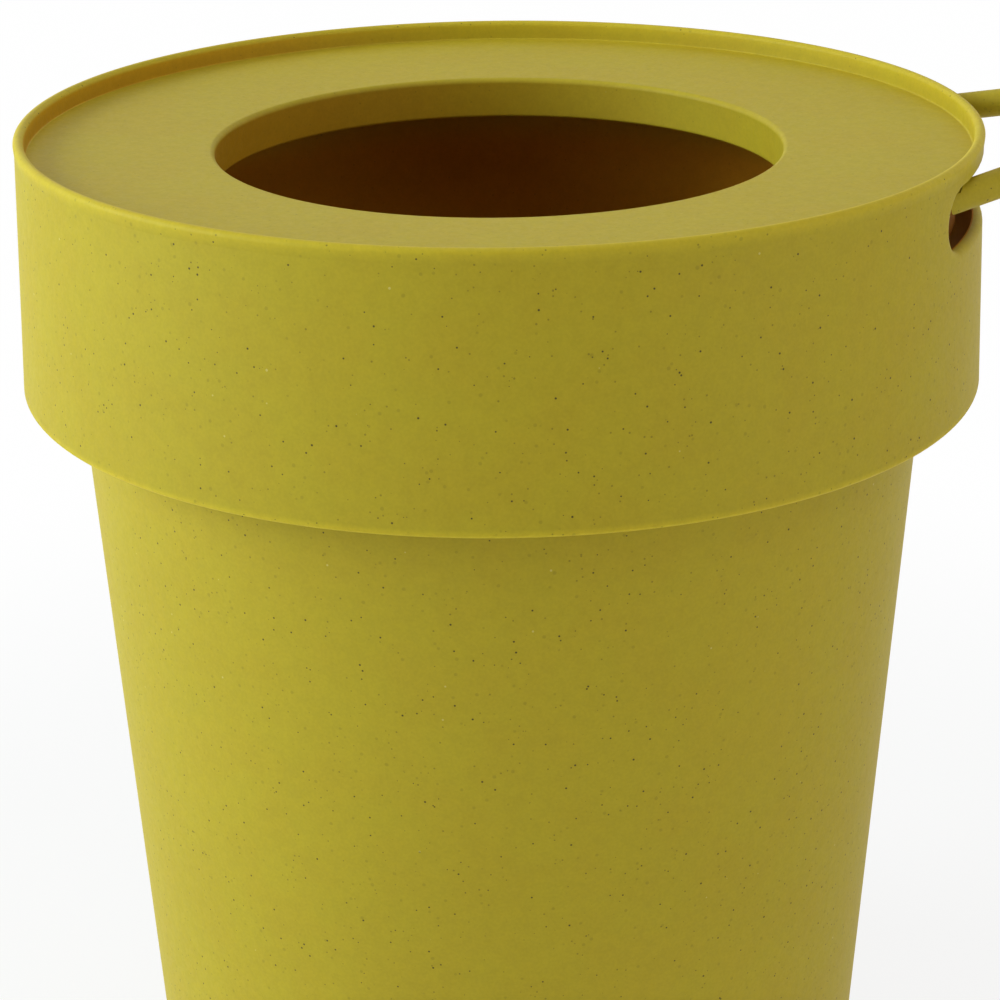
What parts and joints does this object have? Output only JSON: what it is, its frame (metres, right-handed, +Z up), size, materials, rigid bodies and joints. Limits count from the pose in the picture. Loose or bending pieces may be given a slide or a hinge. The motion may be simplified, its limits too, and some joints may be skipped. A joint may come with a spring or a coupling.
{
  "type": "trash can",
  "caption": "Flower-pot shaped round waste bin in speckled mustard plastic with a collared ring lid and a loop handle.",
  "frame": {"origin": "on the floor, at the centre of the foot ring, on the bin's upright axis", "axes": "+Z up along the bin's axis, +X from the axis towards the loop handle"},
  "size_m": [0.2797, 0.234, 0.2746],
  "materials": {
    "speckled_plastic": "matte mustard yellow with fine dark specks"
  },
  "bodies": {
    "bin": {"bin_body": "speckled_plastic"},
    "ring": {"bag_ring": "speckled_plastic"},
    "cover": {"lid": "speckled_plastic"}
  },
  "joints": [
    {"name": "ring_lift", "type": "slide", "parent": "bin", "child": "ring", "axis": [0, 0, 1], "range_m": [0, 0.075]},
    {"name": "lid_tilt", "type": "hinge", "parent": "ring", "child": "cover", "pos_m": [0.1149, 0, 0.2637], "axis": [0, 1, 0], "range_deg": [0, 10]}
  ]
}
